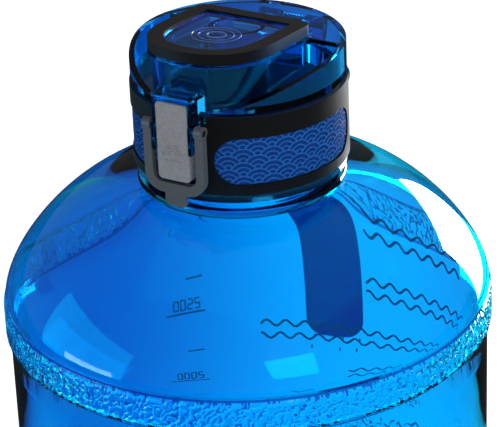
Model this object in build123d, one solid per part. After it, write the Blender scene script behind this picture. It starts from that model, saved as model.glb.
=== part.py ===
"""Large translucent water jug with a screw cap, a flip cover, a rocker latch, a lock bail and a strap.

Millimetres. +Z is up, the jug stands on z = 0, its axis is the Z axis.
The front (latch side) faces -Y and the hinge and the strap are at +Y.
"""
import os
from math import cos, degrees, hypot, radians, sin

from build123d import *

# ---------------------------------------------------------------- bottle
BODY_R = 78.6             # outside radius of the plain wall
WALL = 1.8                # blown wall
RING_PROUD = 1.4          # how far the stippled ring stands out of the wall
RING_Z = 174.5            # middle of the stippled ring
RING_H = 13.0             # height of the stippled ring
RING_EASE = 2.0           # height of each ramp at the ring's edges
DOME_H = 38.5             # from the ring up to the flat top of the dome
DOME_TURN = 10.0          # how long the dome stays upright at the ring
DOME_FLAT = 24.0          # how long the dome stays level at the neck
BASE_ROUND = 11.0         # rounding at the foot
GROOVE_R = 52.0           # middle of the stiffening groove in the flat base
GROOVE_W = 14.0
GROOVE_H = 3.0

NECK_R = 28.4             # outside radius of the neck, without its thread
NECK_WALL = 2.8
NECK_H = 24.5             # from the top of the dome to the rim
BEAD_PROUD = 4.8          # support bead under the cap
BEAD_H = 2.9
GASKET_INSET = 0.3        # gasket inside the neck's edges

# ---------------------------------------------------------------- screw thread
LEAD = 6.0                # rise of the cap in one turn
THREAD_TURNS = 1.25
THREAD_H = 1.3            # how far a ridge stands out
THREAD_ROOT_W = 2.4
THREAD_CREST_W = 1.2
THREAD_FIT = 0.35         # radial gap between a crest and the wall it faces
THREAD_START = 10.5       # height of the neck thread's start above the dome
THREAD_BITE = 0.3         # how deep a ridge is rooted in its wall

# ---------------------------------------------------------------- cap
GASKET_H = 1.6
INNER_WALL = 1.1          # wall of the threaded inner cap
DECK = 2.8                # thickness of the deck over the neck
SEAT_FIT = 0.1            # gap between pieces that are pressed together
SHELL_WALL = 1.8
GRIP_T = 1.6              # thickness of the rubber band
GRIP_H = 26.0
LIP_H = 2.8               # bare lip of the shell under the rubber band
LIP_PROUD = 1.0
LIP_GAP = 2.9             # gap between the bead and the lip
SHELL_RISE = 0.6          # how far the shell stands over the rubber band
CUP_SHOW = 0.8            # inner cup under the shell's lip
BAND_FIT = 0.2            # rubber band beside what stands through it

SPOUT_R = 9.6
SPOUT_WALL = 1.8
SPOUT_H = 13.2
SPOUT_EASE = 0.6          # rounding of the spout's rim

WINDOW_H = 15.8           # the pill windows in the rubber band
WINDOW_UP = 3.3           # from the band's lower edge to the window
WINDOW_FROM = 16.4        # degrees from the front to the window's near end
WINDOW_TO = 108.0
PANEL_GAP = 0.15
PANEL_T = 1.2

# ---------------------------------------------------------------- flip cover
COVER_GAP = 0.7           # between the shell's top and the cover
COVER_WALL = 1.8
COVER_INSET = 0.4         # cover's skirt inside the rubber band's outside
COVER_FLOOR = 1.6
WING_H = 10.4             # height of the cover's skirt at the back
WING_LOW = 1.0            # height of the skirt where it runs out at the front
WING_SHORT = 2.75         # where it runs out, behind the skirt's front
WING_RISE_Y = 0.62        # how far forward, as a share, the sweep of its rim is steepest
WING_RISE_Z = 0.70        # and the share of the wing's height it has there
WING_EASE_Y = 0.34        # share of the way forward where the rim levels out
WING_BACK = 10.0          # where it levels out, behind the axis
TOWER_HALF_W = 20.2       # half width of the raised top, over its trim; it reaches the band's front
TOWER_BACK = 12.75        # backward reach of the raised top
TOWER_ROUND = 23.7        # depth of its rounded front
TOWER_FULL = 0.64         # how full the rounded front is: 0 is a straight cut, 1 a square corner
TOWER_CORNER = 4.0        # its back corners
TOWER_LEAST = 0.6         # least corner of an inner outline
TOWER_H = 16.1            # from the cover's lower edge to the trim's top, on the axis
TOWER_SLOPE = 0.10        # rise of the top towards the front
TRIM_W = 5.0
TRIM_H = 3.6
TRIM_PROUD = 0.9          # trim over the tower's wall
FLANGE_H = 1.3
FLANGE_PROUD = 0.2
LENS_DROP = 0.7           # lens below the trim's top
LENS_T = 2.0

SEAL_R = 9.0
SEAL_H = 2.2
SEAL_GAP = 0.1            # between the closed seal and the spout's rim
PLUG_DEPTH = 2.4
PLUG_FIT = 0.5
STUB_R = 3.0
STUB_H = 1.6
SEAT_TUBE_WALL = 1.6

# ---------------------------------------------------------------- hinge
HINGE_OUT = 2.6           # hinge axis outside the rubber band
HINGE_UP = 2.2            # hinge axis above the cover's lower edge
KNUCKLE_R = 2.6
PIN_R = 1.2
PIN_FIT = 0.05            # radial gap of a turning shaft
KNUCKLE_IN = 5.2          # inner and outer ends of a cover knuckle
KNUCKLE_OUT = 8.5
KNUCKLE_ARM = 1.6         # arm of a cover knuckle under the hinge axis
EAR_GAP = 0.3
EAR_T = 3.7
EAR_FOOT = 10.0           # foot of a hinge ear below the shell's top
EAR_ROOT = 1.0            # how deep an ear or lug is rooted in the shell
SPRING_WIRE = 0.7
SPRING_TURNS = 8
SPRING_GAP = 0.2

# ---------------------------------------------------------------- latch
BUTTON_HALF_W = 5.7
BUTTON_H = 26.0
BUTTON_OVER = 0.85        # from the latch tooth to the button's top
BUTTON_T = 4.4
BUTTON_OUT = 6.4          # button's face outside the rubber band
BUTTON_FIT = 0.2
BUTTON_ROUND = 1.6
BUTTON_EASE = 0.6
POCKET_END = 1.6          # room under the button's lower end
PIVOT_DOWN = 13.2         # rocker pin under the button's top
TRAVEL_GAP = 1.7          # room behind the button
LATCH_PIN_R = 1.0
TOOTH_H = 1.6
TOOTH_GAP = 0.15
CATCH_H = 1.4
CATCH_PROUD = 0.9
CATCH_UP = 0.9            # catch above the cover's lower edge
CATCH_HALF_W = 4.4
BOSS_WALL = 1.0
BOSS_FOOT = 1.2           # boss above the rubber band's lower edge
PIN_BOSS_DROP = 3.0       # foot of the pins' boss below the rocker pin
HOOD_WALL = 2.0
HOOD_H = 10.0
HOOD_FRONT_HALF_W = 6.6
HOOD_BACK_HALF_W = 8.2
HOOD_CLEAR = 0.5          # hood in front of the cover's tower
HOOD_EASE = 1.2
PRESS_SPRING_R = 1.9
PRESS_SPRING_L = 3.0      # its pressed length
PRESS_WIRE = 0.5
PRESS_TURNS = 4
WELL_FIT = 0.3
WELL_UP = 2.2             # from the button's lower end to the spring's well
WELL_FLOOR = 1.1          # spring's seat behind the pocket's back wall

# ---------------------------------------------------------------- lock bail
BAIL_INNER_HALF_W = 7.8
BAIL_W = 2.8
BAIL_T = 2.4
BAIL_SET_BACK = 0.4       # bail's face behind the button's face
BAIL_PIVOT_UP = 23.5      # bail's pivot above the rubber band's lower edge
BAIL_REACH = 21.9         # from the pivot to the lower edge of the bar
BAIL_BAR_W = 3.4
BAIL_CORNER = 6.0
BAIL_EYE_R = 2.0
BAIL_PIN_R = 1.0
TAB_W = 7.4
TAB_DROP = 4.2
TAB_T = 1.44
TAB_ROUND = 1.6

# ---------------------------------------------------------------- strap
STRAP_BAR_R = 2.0
STRAP_BAR_OUT = 5.6       # bar's axis outside the rubber band
STRAP_BAR_UP = 12.0       # bar's axis above the rubber band's lower edge
LUG_HALF_GAP = 14.4
LUG_T = 2.0
LUG_R = 3.4
STRAP_LOOP_R = 3.3        # inside radius of the webbing's loop on the bar
STRAP_W = 12.0
STRAP_T = 1.6
STRAP_FIRST = 0.74        # where along the dome's curve the strap first lies on it
STRAP_STEP = 0.155        # and the share of the curve between the places it's held to
STRAP_EASE = 2.0          # below the ring's top, where it has turned to hang straight
STRAP_TUCK = 5.0          # how far the webbing goes down inside the sleeve
STRAP_AWAY = 1.4          # webbing off the dome
STRAP_POINTS = 5          # of the webbing's curve down the dome
STRAP_SIDE = 9.6          # degrees that the strap hangs to one side
SLEEVE_W = 21.0
SLEEVE_NECK_W = 12.6
SLEEVE_T = 5.6
SLEEVE_SOFT = 0.3         # rounding of its outer edges, as a share of its thickness
SLEEVE_TOP = 177.0
SLEEVE_BOTTOM = 120.0
SLEEVE_TAPER = 20.0
SLEEVE_ROUND = 6.0

# ---------------------------------------------------------------- worked out
RING_R = BODY_R + RING_PROUD
RING_TOP = RING_Z + RING_H / 2
DOME_Z = RING_TOP + DOME_H
NECK_TOP = DOME_Z + NECK_H
BORE_R = NECK_R - NECK_WALL
BEAD_R = NECK_R + BEAD_PROUD

DECK_Z = NECK_TOP + GASKET_H
DECK_TOP = DECK_Z + DECK
CUP_R = NECK_R + THREAD_H + THREAD_FIT
INNER_R = CUP_R + INNER_WALL
SHELL_R0 = INNER_R + SEAT_FIT
SHELL_R = SHELL_R0 + SHELL_WALL
GRIP_R = SHELL_R + GRIP_T
LIP_Z = DOME_Z + BEAD_H + LIP_GAP
GRIP_Z = LIP_Z + LIP_H
GRIP_TOP = GRIP_Z + GRIP_H
SHELL_TOP = GRIP_TOP + SHELL_RISE
SPOUT_TOP = DECK_TOP + SPOUT_H

COVER_Z = SHELL_TOP + COVER_GAP
COVER_R = GRIP_R - COVER_INSET
WING_TOP = COVER_Z + WING_H
WING_FRONT = COVER_R - WING_SHORT
TOWER_FRONT = GRIP_R
TRIM_Z = COVER_Z + TOWER_H
HINGE_Y = GRIP_R + HINGE_OUT
HINGE_Z = COVER_Z + HINGE_UP
EAR_IN = KNUCKLE_OUT + EAR_GAP
EAR_OUT = EAR_IN + EAR_T

CATCH_Z = COVER_Z + CATCH_UP
TOOTH_Z = CATCH_Z + CATCH_H + TOOTH_GAP
BUTTON_Y = -(GRIP_R + BUTTON_OUT)
BUTTON_TOP = TOOTH_Z + TOOTH_H + BUTTON_OVER
BUTTON_Z = BUTTON_TOP - BUTTON_H
BUTTON_BACK = BUTTON_Y + BUTTON_T
PIVOT_Y = BUTTON_Y + BUTTON_T / 2
PIVOT_Z = BUTTON_TOP - PIVOT_DOWN
POCKET_HALF_W = BUTTON_HALF_W + BUTTON_FIT
BOSS_HALF_W = POCKET_HALF_W + BOSS_WALL
POCKET_BACK = BUTTON_BACK + TRAVEL_GAP
TOWER_WALL_Y = -(TOWER_FRONT - TRIM_PROUD)
CATCH_Y = TOWER_WALL_Y - CATCH_PROUD
HOOD_BACK_Y = TOWER_WALL_Y - HOOD_CLEAR
HOOD_TOP = BUTTON_TOP + BUTTON_FIT * 2 + HOOD_WALL
HOOD_Z = HOOD_TOP - HOOD_H

BAIL_Y = BUTTON_Y + BAIL_SET_BACK
BAIL_PIVOT_Y = BAIL_Y + BAIL_T / 2
BAIL_PIVOT_Z = GRIP_Z + BAIL_PIVOT_UP
BAIL_OUTER_HALF_W = BAIL_INNER_HALF_W + BAIL_W

STRAP_BAR_Y = GRIP_R + STRAP_BAR_OUT
STRAP_BAR_Z = GRIP_Z + STRAP_BAR_UP
BACK_NOTCH = LUG_HALF_GAP + LUG_T + BAND_FIT
HANG_R = RING_R + STRAP_AWAY

MIN_Z = (Align.CENTER, Align.CENTER, Align.MIN)
SWEEP = 5.0               # how far a cutting shape runs past what it cuts
ROOT = 0.5                # how far joined shapes run into each other
FAR = 60.0                # past the cap on every side


# ---------------------------------------------------------------- helpers
def cylinder(radius, z0, z1):
    return Pos(0, 0, z0) * Cylinder(radius, z1 - z0, align=MIN_Z)


def tube(outer, inner, z0, z1):
    return cylinder(outer, z0, z1) - cylinder(inner, z0 - 1, z1 + 1)


def block(x0, x1, y0, y1, z0, z1):
    return Pos(x0, y0, z0) * Box(x1 - x0, y1 - y0, z1 - z0, align=(Align.MIN,) * 3)


def rod_x(radius, x0, x1, y, z):
    rod = Cylinder(radius, x1 - x0, align=MIN_Z)
    return Pos(x0, y, z) * Rot(0, 90, 0) * rod


def slab_x(points, x0, x1):
    """A flat outline in the YZ plane, made solid from x0 to x1."""
    wire = Polyline(*[(x0, y, z) for y, z in points], close=True)
    return extrude(make_face(wire), amount=x1 - x0, dir=(1, 0, 0))


def turned(edges):
    """A closed outline in the XZ plane, turned about the Z axis."""
    return revolve(make_face(edges), Axis.Z)


def rz(radius, z):
    return (radius, 0, z)


def one_solid(shape):
    """The shape as a plain solid, where a cut has left a list around it."""
    solids = shape.solids()
    return solids[0] if len(solids) == 1 else Compound(solids)


# ---------------------------------------------------------------- bottle
def body_outline(inset):
    """Half section of the bottle without its neck; inset moves it into the wall."""
    wall_r = BODY_R - inset
    ring_r = RING_R - inset
    round_r = BASE_ROUND - inset
    corner = round_r * (1 - cos(radians(45)))
    groove_in, groove_out = GROOVE_R - GROOVE_W / 2, GROOVE_R + GROOVE_W / 2
    ring_low = RING_Z - RING_H / 2
    top_r = NECK_R - inset if inset else BEAD_R
    dome_z = DOME_Z - inset
    return [
        Line(rz(0, inset), rz(groove_in, inset)),
        ThreePointArc(rz(groove_in, inset), rz(GROOVE_R, inset + GROOVE_H), rz(groove_out, inset)),
        Line(rz(groove_out, inset), rz(wall_r - round_r, inset)),
        ThreePointArc(
            rz(wall_r - round_r, inset),
            rz(wall_r - corner, inset + corner),
            rz(wall_r, inset + round_r),
        ),
        Line(rz(wall_r, inset + round_r), rz(wall_r, ring_low)),
        Line(rz(wall_r, ring_low), rz(ring_r, ring_low + RING_EASE)),
        Line(rz(ring_r, ring_low + RING_EASE), rz(ring_r, RING_TOP - RING_EASE)),
        Line(rz(ring_r, RING_TOP - RING_EASE), rz(ring_r - RING_PROUD / 2, RING_TOP)),
        Bezier(
            rz(ring_r - RING_PROUD / 2, RING_TOP),
            rz(ring_r - RING_PROUD / 2, RING_TOP + DOME_TURN),
            rz(top_r + DOME_FLAT, dome_z),
            rz(top_r, dome_z),
        ),
        Line(rz(top_r, dome_z), rz(0, dome_z)),
        Line(rz(0, dome_z), rz(0, inset)),
    ]


def thread_ridge(root_r, outward, z_start):
    """One helical ridge: its root lies on root_r and it stands outward or inward."""
    sign = 1 if outward else -1
    foot = root_r - sign * THREAD_BITE
    crest = root_r + sign * THREAD_H
    path = Helix(pitch=LEAD, height=LEAD * THREAD_TURNS, radius=root_r, center=(0, 0, z_start))
    half_foot, half_crest = THREAD_ROOT_W / 2, THREAD_CREST_W / 2
    section = make_face(
        Polyline(
            rz(foot, z_start - half_foot),
            rz(crest, z_start - half_crest),
            rz(crest, z_start + half_crest),
            rz(foot, z_start + half_foot),
            close=True,
        )
    )
    return sweep(section, path=path, is_frenet=True)


def make_bottle():
    mouth = cylinder(BORE_R, GROOVE_H + SWEEP, DOME_Z + 1)
    return turned(body_outline(0)) - turned(body_outline(WALL)) - mouth


def make_bottle_neck():
    """The injection-moulded neck that the body is blown from: bead, thread and sealing rim."""
    neck = tube(NECK_R, BORE_R, DOME_Z, NECK_TOP)
    neck += tube(BEAD_R, BORE_R, DOME_Z, DOME_Z + BEAD_H)
    return neck + thread_ridge(NECK_R, True, DOME_Z + THREAD_START)


def make_neck_gasket():
    return tube(NECK_R - GASKET_INSET, BORE_R + GASKET_INSET, NECK_TOP, DECK_Z)


# ---------------------------------------------------------------- cap
def make_inner_cap():
    """Threaded cup with its deck and the drinking spout."""
    cup = tube(INNER_R, CUP_R, LIP_Z - CUP_SHOW, DECK_TOP)
    deck = cylinder(CUP_R + ROOT, DECK_Z, DECK_TOP)
    spout = cylinder(SPOUT_R, DECK_TOP - ROOT, SPOUT_TOP)
    spout = fillet(spout.edges().group_by(Axis.Z)[-1], SPOUT_EASE)
    ridge = thread_ridge(CUP_R, False, DOME_Z + THREAD_START - LEAD / 2)
    return cup + deck + spout + ridge - cylinder(SPOUT_R - SPOUT_WALL, DECK_Z - 1, SPOUT_TOP + 1)


def pill(r0, r1, z0, z1, a0, a1):
    """A pill-shaped patch of a tube, from a0 to a1 degrees around from the front."""
    half = (z1 - z0) / 2
    mid_r = (r0 + r1) / 2
    cap_angle = degrees(half / mid_r)
    lo, hi = a0 + cap_angle, a1 - cap_angle
    patch = tube(r1, r0, z0, z1)
    wedge = Polyline(
        (0, 0),
        polar_point(2 * r1, lo),
        polar_point(2 * r1, (2 * lo + hi) / 3),
        polar_point(2 * r1, (lo + 2 * hi) / 3),
        polar_point(2 * r1, hi),
        close=True,
    )
    patch &= Pos(0, 0, z0 - 1) * extrude(make_face(wedge), amount=z1 - z0 + 2, dir=(0, 0, 1))
    for angle in (lo, hi):
        plug = Rot(0, 0, angle) * Rot(90, 0, 0) * Cylinder(half, 2 * r1, align=MIN_Z)
        patch += Pos(0, 0, (z0 + z1) / 2) * plug & tube(r1, r0, z0 - 1, z1 + 1)
    return patch


def polar_point(radius, angle):
    """A point at an angle from the front (-Y), towards +X."""
    return (radius * sin(radians(angle)), -radius * cos(radians(angle)))


def window(side, gap, r0, r1):
    z0 = GRIP_Z + WINDOW_UP + gap
    turn = degrees(gap / GRIP_R)
    patch = pill(r0, r1, z0, z0 + WINDOW_H - 2 * gap, WINDOW_FROM + turn, WINDOW_TO - turn)
    return patch if side > 0 else mirror(patch, Plane.YZ)


def make_grip_band():
    band = tube(GRIP_R, SHELL_R, GRIP_Z, GRIP_TOP)
    for side in (1, -1):
        band -= window(side, 0, SHELL_R - 1, GRIP_R + 1)
    front = BOSS_HALF_W + BAND_FIT
    band -= block(-front, front, -GRIP_R - 1, 0, GRIP_Z + BOSS_FOOT - BAND_FIT, GRIP_TOP + 1)
    band -= block(-BACK_NOTCH, BACK_NOTCH, 0, GRIP_R + 1, GRIP_Z + WINDOW_UP, GRIP_TOP + 1)
    return band


def make_window_panel(side):
    return window(side, PANEL_GAP, SHELL_R, SHELL_R + PANEL_T)


def hood():
    """The raised bezel around the button's top; it narrows towards the front."""
    plan = Polyline(
        (-HOOD_BACK_HALF_W, HOOD_BACK_Y),
        (-HOOD_FRONT_HALF_W, BUTTON_Y),
        (HOOD_FRONT_HALF_W, BUTTON_Y),
        (HOOD_BACK_HALF_W, HOOD_BACK_Y),
        close=True,
    )
    body = Pos(0, 0, HOOD_Z) * extrude(make_face(plan), amount=HOOD_H, dir=(0, 0, 1))
    return fillet(body.edges().group_by(Axis.Z)[-1], HOOD_EASE)


def make_cap_shell():
    shell = tube(SHELL_R, SHELL_R0, LIP_Z, SHELL_TOP)
    shell += tube(SHELL_R + LIP_PROUD, SHELL_R - ROOT, LIP_Z, GRIP_Z)

    width, inside = BOSS_HALF_W, -SHELL_R0 - ROOT
    pin_boss_y = BAIL_PIVOT_Y - 2 * BAIL_PIN_R
    boss = block(-width, width, BUTTON_BACK - 2 * BUTTON_FIT, inside, GRIP_Z + BOSS_FOOT, SHELL_TOP)
    boss += block(-width, width, pin_boss_y, inside, PIVOT_Z - PIN_BOSS_DROP, HOOD_Z + ROOT)
    boss += hood()
    shell += boss - cylinder(SHELL_R0, GRIP_Z, HOOD_TOP)

    width, front, top = POCKET_HALF_W, BUTTON_Y - 1, BUTTON_TOP + 2 * BUTTON_FIT
    shell -= block(-width, width, front, POCKET_BACK, BUTTON_Z - POCKET_END, top)
    shell -= block(-width, width, front, -SHELL_R + ROOT, SHELL_TOP - ROOT, top)

    for side in (1, -1):
        shell += hinge_ear(side) + strap_lug(side)
    reach = FAR / 2
    shell -= rod_x(PIN_R, -reach, reach, HINGE_Y, HINGE_Z)
    shell -= rod_x(LATCH_PIN_R, -reach, reach, PIVOT_Y, PIVOT_Z)
    shell -= rod_x(BAIL_PIN_R, -reach, reach, BAIL_PIVOT_Y, BAIL_PIVOT_Z)
    shell -= rod_x(STRAP_BAR_R, -reach, reach, STRAP_BAR_Y, STRAP_BAR_Z)
    return shell


def wall_y(radius, x):
    """Where a round wall lies behind the axis, at x to one side."""
    return (radius**2 - x**2) ** 0.5


def hinge_ear(side):
    back = wall_y(COVER_R, EAR_IN) + EAR_GAP
    root = wall_y(SHELL_R, EAR_OUT) - EAR_ROOT
    outline = [
        (root, SHELL_TOP - EAR_FOOT),
        (SHELL_R + EAR_ROOT, SHELL_TOP - EAR_FOOT),
        (HINGE_Y + KNUCKLE_R, HINGE_Z),
        (max(back, HINGE_Y - KNUCKLE_R), HINGE_Z),
        (back, SHELL_TOP),
        (root, SHELL_TOP),
    ]
    x0, x1 = (EAR_IN, EAR_OUT) if side > 0 else (-EAR_OUT, -EAR_IN)
    ear = slab_x(outline, x0, x1) - cylinder(SHELL_R0, GRIP_Z, TRIM_Z)
    return ear + rod_x(KNUCKLE_R, x0, x1, HINGE_Y, HINGE_Z)


def strap_lug(side):
    root = wall_y(SHELL_R, LUG_HALF_GAP + LUG_T) - EAR_ROOT
    outline = [
        (root, STRAP_BAR_Z - LUG_R),
        (STRAP_BAR_Y, STRAP_BAR_Z - LUG_R),
        (STRAP_BAR_Y, STRAP_BAR_Z + LUG_R),
        (root, STRAP_BAR_Z + LUG_R),
    ]
    near, far = LUG_HALF_GAP, LUG_HALF_GAP + LUG_T
    x0, x1 = (near, far) if side > 0 else (-far, -near)
    lug = slab_x(outline, x0, x1) - cylinder(SHELL_R0, GRIP_Z, SHELL_TOP)
    return lug + rod_x(LUG_R, x0, x1, STRAP_BAR_Y, STRAP_BAR_Z)


# ---------------------------------------------------------------- flip cover
def tower_outline(inset):
    """Plan of the raised top: straight sides, a round front and a square back."""
    half = TOWER_HALF_W - inset
    front = -(TOWER_FRONT - inset)
    back = TOWER_BACK - inset
    turn = -(TOWER_FRONT - TOWER_ROUND)
    corner = max(TOWER_CORNER - inset, TOWER_LEAST)
    lead_x, lead_y = TOWER_FULL * half, turn - TOWER_FULL * (turn - front)
    right = Bezier((0, front), (lead_x, front), (half, lead_y), (half, turn))
    side = Line((half, turn), (half, back - corner))
    bend = RadiusArc((half, back - corner), (half - corner, back), -corner)
    rear = Line((half - corner, back), (-(half - corner), back))
    bend_l = mirror(bend, Plane.YZ)
    side_l = mirror(side, Plane.YZ)
    left = mirror(right, Plane.YZ)
    return make_face([right, side, bend, rear, bend_l, side_l, left])


def below_top(drop):
    """Everything below the sloping top plane, lowered by drop."""
    at = TRIM_Z - drop
    outline = [
        (-FAR, GRIP_Z),
        (FAR, GRIP_Z),
        (FAR, at - TOWER_SLOPE * FAR),
        (-FAR, at + TOWER_SLOPE * FAR),
    ]
    return slab_x(outline, -FAR, FAR)


def tower(inset, drop, z0=COVER_Z):
    column = extrude(Pos(0, 0, z0) * tower_outline(inset), amount=FAR, dir=(0, 0, 1))
    return column & below_top(drop)


def above_wings():
    """What is cut away over the skirt's sweeping rim, seen from the side."""
    foot = COVER_Z + WING_LOW
    rim = Bezier(
        (-FAR, -WING_FRONT, foot),
        (-FAR, -WING_FRONT * WING_RISE_Y, COVER_Z + WING_H * WING_RISE_Z),
        (-FAR, -WING_FRONT * WING_EASE_Y, WING_TOP),
        (-FAR, WING_BACK, WING_TOP),
    )
    rest = Polyline(
        (-FAR, WING_BACK, WING_TOP),
        (-FAR, FAR, WING_TOP),
        (-FAR, FAR, WING_TOP + FAR),
        (-FAR, -FAR, WING_TOP + FAR),
        (-FAR, -FAR, foot),
        (-FAR, -WING_FRONT, foot),
    )
    return extrude(make_face([rim, rest]), amount=2 * FAR, dir=(1, 0, 0))


def make_flip_cover():
    """Skirt with its wings, floor, raised tower with its lens, seal seat and catch, all one moulding."""
    cover = tube(COVER_R, COVER_R - COVER_WALL, COVER_Z, WING_TOP + SWEEP) - above_wings()
    cover += cylinder(COVER_R, COVER_Z, COVER_Z + COVER_FLOOR)
    end_y = TOWER_BACK - TRIM_PROUD
    plateau = cylinder(COVER_R, COVER_Z, WING_TOP)
    cover += plateau & block(-FAR, FAR, end_y - COVER_WALL, FAR, COVER_Z, WING_TOP)
    cover += tower(TRIM_PROUD, TRIM_H)
    cover += tower(-FLANGE_PROUD, TRIM_H) - tower(-SWEEP, TRIM_H + FLANGE_H)
    cover -= tower(-SEAT_FIT, -SWEEP) - tower(-SWEEP, TRIM_H)
    lens_in = TRIM_W + SEAT_FIT
    cover += tower(lens_in, LENS_DROP)

    under = cylinder(COVER_R - COVER_WALL, COVER_Z - 1, WING_TOP - COVER_WALL)
    cover -= under & block(-FAR, FAR, end_y, FAR, COVER_Z - 1, WING_TOP)
    cover -= tower(TRIM_PROUD + COVER_WALL, TRIM_H + LENS_T, COVER_Z - 1)
    cover -= tower(lens_in + LENS_T, LENS_DROP + LENS_T, COVER_Z - 1)

    seat_z = SPOUT_TOP + SEAL_GAP + SEAL_H
    seat = tube(SEAL_R, SEAL_R - SEAT_TUBE_WALL, seat_z, TRIM_Z + SWEEP) & cylinder(SEAL_R, seat_z, FAR * 6)
    cover += seat & (below_top(TRIM_H + LENS_T / 2) + tower(lens_in, LENS_DROP + LENS_T / 2))

    catch = block(-CATCH_HALF_W, CATCH_HALF_W, CATCH_Y, TOWER_WALL_Y + ROOT, CATCH_Z, CATCH_Z + CATCH_H)
    cover += catch
    for side in (1, -1):
        cover += cover_knuckle(side)
    return cover - rod_x(PIN_R + PIN_FIT, -EAR_OUT, EAR_OUT, HINGE_Y, HINGE_Z)


def cover_knuckle(side):
    x0, x1 = (KNUCKLE_IN, KNUCKLE_OUT) if side > 0 else (-KNUCKLE_OUT, -KNUCKLE_IN)
    root = wall_y(COVER_R, KNUCKLE_OUT) - COVER_WALL / 2
    arm = block(x0, x1, root, HINGE_Y, HINGE_Z - KNUCKLE_ARM, HINGE_Z + KNUCKLE_R)
    return arm + rod_x(KNUCKLE_R, x0, x1, HINGE_Y, HINGE_Z)


def make_cover_trim():
    return tower(0, 0) - tower(-SWEEP, TRIM_H) - tower(TRIM_W, -SWEEP)


def make_mouth_seal():
    disc_z = SPOUT_TOP + SEAL_GAP
    seal = cylinder(SEAL_R, disc_z, disc_z + SEAL_H)
    seal += cylinder(SPOUT_R - SPOUT_WALL - PLUG_FIT, SPOUT_TOP - PLUG_DEPTH, disc_z + ROOT)
    seal += cylinder(STUB_R, disc_z, disc_z + SEAL_H + STUB_H)
    return seal


# ---------------------------------------------------------------- hinge pieces
def make_hinge_pin():
    return rod_x(PIN_R, -EAR_OUT, EAR_OUT, HINGE_Y, HINGE_Z)


def coil(mean_r, wire, turns, pitch):
    """A coil spring along Z, from z = 0."""
    path = Helix(pitch=pitch, height=turns * pitch, radius=mean_r)
    section = Plane(origin=path @ 0, z_dir=path % 0) * Circle(wire / 2)
    return sweep(section, path=path, is_frenet=True)


def make_hinge_spring():
    mean_r = PIN_R + SPRING_GAP + SPRING_WIRE / 2
    length = 2 * (KNUCKLE_IN - EAR_GAP) - SPRING_WIRE
    spring = coil(mean_r, SPRING_WIRE, SPRING_TURNS, length / SPRING_TURNS)
    return Pos(-length / 2, HINGE_Y, HINGE_Z) * Rot(0, 90, 0) * spring


# ---------------------------------------------------------------- latch pieces
WELL_Y = BUTTON_BACK - (PRESS_SPRING_L - TRAVEL_GAP + WELL_FLOOR)
WELL_Z = BUTTON_Z + PRESS_SPRING_R + WELL_UP


def make_latch_button():
    width = BUTTON_HALF_W
    button = block(-width, width, BUTTON_Y, BUTTON_BACK, BUTTON_Z, BUTTON_TOP)
    button = fillet(button.edges().filter_by(Axis.Y), BUTTON_ROUND)
    button = fillet(button.faces().sort_by(Axis.Y)[0].edges(), BUTTON_EASE)
    width = CATCH_HALF_W
    button += block(-width, width, BUTTON_BACK - ROOT, CATCH_Y - TOOTH_GAP, TOOTH_Z, TOOTH_Z + TOOTH_H)
    well = Cylinder(PRESS_SPRING_R + WELL_FIT, FAR, align=MIN_Z)
    button -= Pos(0, WELL_Y, WELL_Z) * Rot(-90, 0, 0) * well
    return button - rod_x(LATCH_PIN_R + PIN_FIT, -FAR, FAR, PIVOT_Y, PIVOT_Z)


def make_latch_pin():
    return rod_x(LATCH_PIN_R, -BOSS_HALF_W, BOSS_HALF_W, PIVOT_Y, PIVOT_Z)


def make_latch_spring():
    """Press spring at its pressed length, seated in the button's well."""
    length = PRESS_SPRING_L - PRESS_WIRE
    spring = coil(PRESS_SPRING_R - PRESS_WIRE / 2, PRESS_WIRE, PRESS_TURNS, length / PRESS_TURNS)
    return Pos(0, WELL_Y + PRESS_WIRE / 2, WELL_Z) * Rot(-90, 0, 0) * spring


def rounded_low(x, y0, y1, z0, z1, radius):
    """A slab across x = 0 with its two lower corners rounded."""
    slab = block(-x, x, y0, y1, z0, z1)
    return fillet(slab.edges().filter_by(Axis.Y).group_by(Axis.Z)[0], radius)


def make_lock_bail():
    low, back = BAIL_PIVOT_Z - BAIL_REACH, BAIL_Y + BAIL_T
    outer, inner = BAIL_OUTER_HALF_W, BAIL_INNER_HALF_W
    bail = rounded_low(outer, BAIL_Y, back, low, BAIL_PIVOT_Z, BAIL_CORNER)
    gap_z, gap_round = low + BAIL_BAR_W, BAIL_CORNER - BAIL_W
    bail -= rounded_low(inner, BAIL_Y - 1, back + 1, gap_z, BAIL_PIVOT_Z + SWEEP, gap_round)
    bail += rounded_low(TAB_W / 2, BAIL_Y, BAIL_Y + TAB_T, low - TAB_DROP, low + 1, TAB_ROUND)
    for x0 in (-outer, inner):
        bail += rod_x(BAIL_EYE_R, x0, x0 + BAIL_W, BAIL_PIVOT_Y, BAIL_PIVOT_Z)
    return bail - rod_x(BAIL_PIN_R + PIN_FIT, -FAR, FAR, BAIL_PIVOT_Y, BAIL_PIVOT_Z)


def make_bail_pins():
    end = BAIL_OUTER_HALF_W
    start = BOSS_HALF_W - BOSS_WALL
    return Compound([
        rod_x(BAIL_PIN_R, start, end, BAIL_PIVOT_Y, BAIL_PIVOT_Z),
        rod_x(BAIL_PIN_R, -end, -start, BAIL_PIVOT_Y, BAIL_PIVOT_Z),
    ])


# ---------------------------------------------------------------- strap
def make_strap_bar():
    half = LUG_HALF_GAP + LUG_T
    return rod_x(STRAP_BAR_R, -half, half, STRAP_BAR_Y, STRAP_BAR_Z)


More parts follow.
